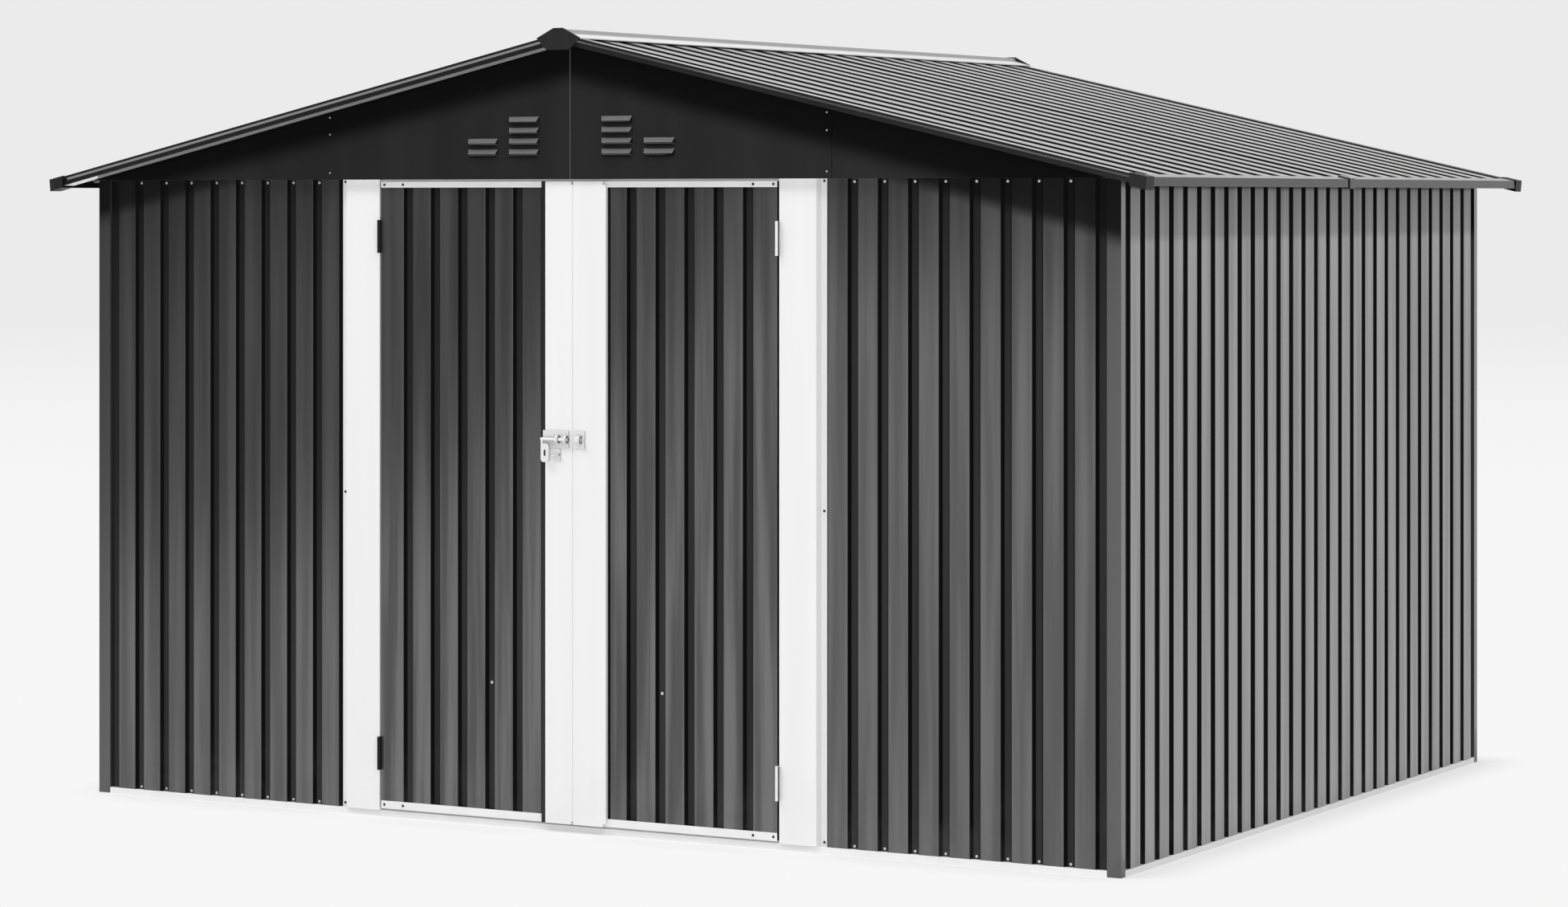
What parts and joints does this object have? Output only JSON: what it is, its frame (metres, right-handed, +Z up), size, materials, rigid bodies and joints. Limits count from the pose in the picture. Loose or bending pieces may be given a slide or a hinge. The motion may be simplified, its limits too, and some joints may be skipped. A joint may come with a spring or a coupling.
{
  "type": "metal storage shed",
  "caption": "Metal storage shed with ribbed dark sheet walls, a shallow gable roof, louvred gables and a pair of hinged front doors with pale trim and a slide bolt.",
  "frame": {"origin": "on the ground, under the middle of the roof", "axes": "+X along the front to the right as seen from outside, +Y from the doors to the rear wall, +Z up"},
  "size_m": [3.188, 2.536, 2],
  "materials": {
    "dark_paint": "semi-gloss dark grey paint on ribbed steel sheet",
    "white_paint": "satin white paint on folded steel",
    "galvanised_frame": "dull galvanised steel framing",
    "zinc_plate": "bright zinc plate on small hardware",
    "black_plastic": "matt black moulded caps"
  },
  "bodies": {
    "shed": {"front_sill": "white_paint", "rear_sill": "white_paint", "side_sills": "white_paint", "front_left_post": "dark_paint", "front_right_post": "dark_paint", "rear_left_post": "dark_paint", "rear_right_post": "dark_paint", "front_left_wall": "dark_paint", "front_right_wall": "dark_paint", "left_wall": "dark_paint", "right_wall": "dark_paint", "rear_wall": "dark_paint", "left_door_jamb": "white_paint", "right_door_jamb": "white_paint", "front_top_rail": "white_paint", "rear_top_rail": "white_paint", "side_top_rails": "galvanised_frame", "front_gable_left": "dark_paint", "front_gable_right": "dark_paint", "rear_gable": "dark_paint", "left_roof": "dark_paint", "right_roof": "dark_paint", "roof_purlins": "galvanised_frame", "front_rake_trims": "dark_paint", "rear_rake_trims": "dark_paint", "left_eave_trim": "dark_paint", "right_eave_trim": "dark_paint", "eave_joiners": "dark_paint", "eave_corner_caps": "black_plastic", "ridge_cap": "white_paint", "ridge_end_caps": "black_plastic", "jamb_hinges": "zinc_plate"},
    "left_door": {"left_door_sheet": "dark_paint", "left_door_stile": "white_paint", "left_door_rails": "white_paint", "left_door_braces": "galvanised_frame", "left_door_hinges": "zinc_plate", "latch_guide": "zinc_plate"},
    "right_door": {"right_door_sheet": "dark_paint", "right_door_stile": "white_paint", "right_door_rails": "white_paint", "right_door_braces": "galvanised_frame", "right_door_hinges": "zinc_plate", "latch_keeper": "zinc_plate"},
    "bolt": {"latch_bolt": "zinc_plate"}
  },
  "joints": [
    {"name": "left_door_hinge", "type": "hinge", "parent": "shed", "child": "left_door", "pos_m": [-0.583, -1.198, 0.8], "axis": [0, 0, -1], "range_deg": [0, 170]},
    {"name": "right_door_hinge", "type": "hinge", "parent": "shed", "child": "right_door", "pos_m": [0.583, -1.198, 0.8], "axis": [0, 0, 1], "range_deg": [0, 170]},
    {"name": "bolt_slide", "type": "slide", "parent": "left_door", "child": "bolt", "axis": [1, 0, 0], "range_m": [0, 0.03]}
  ]
}
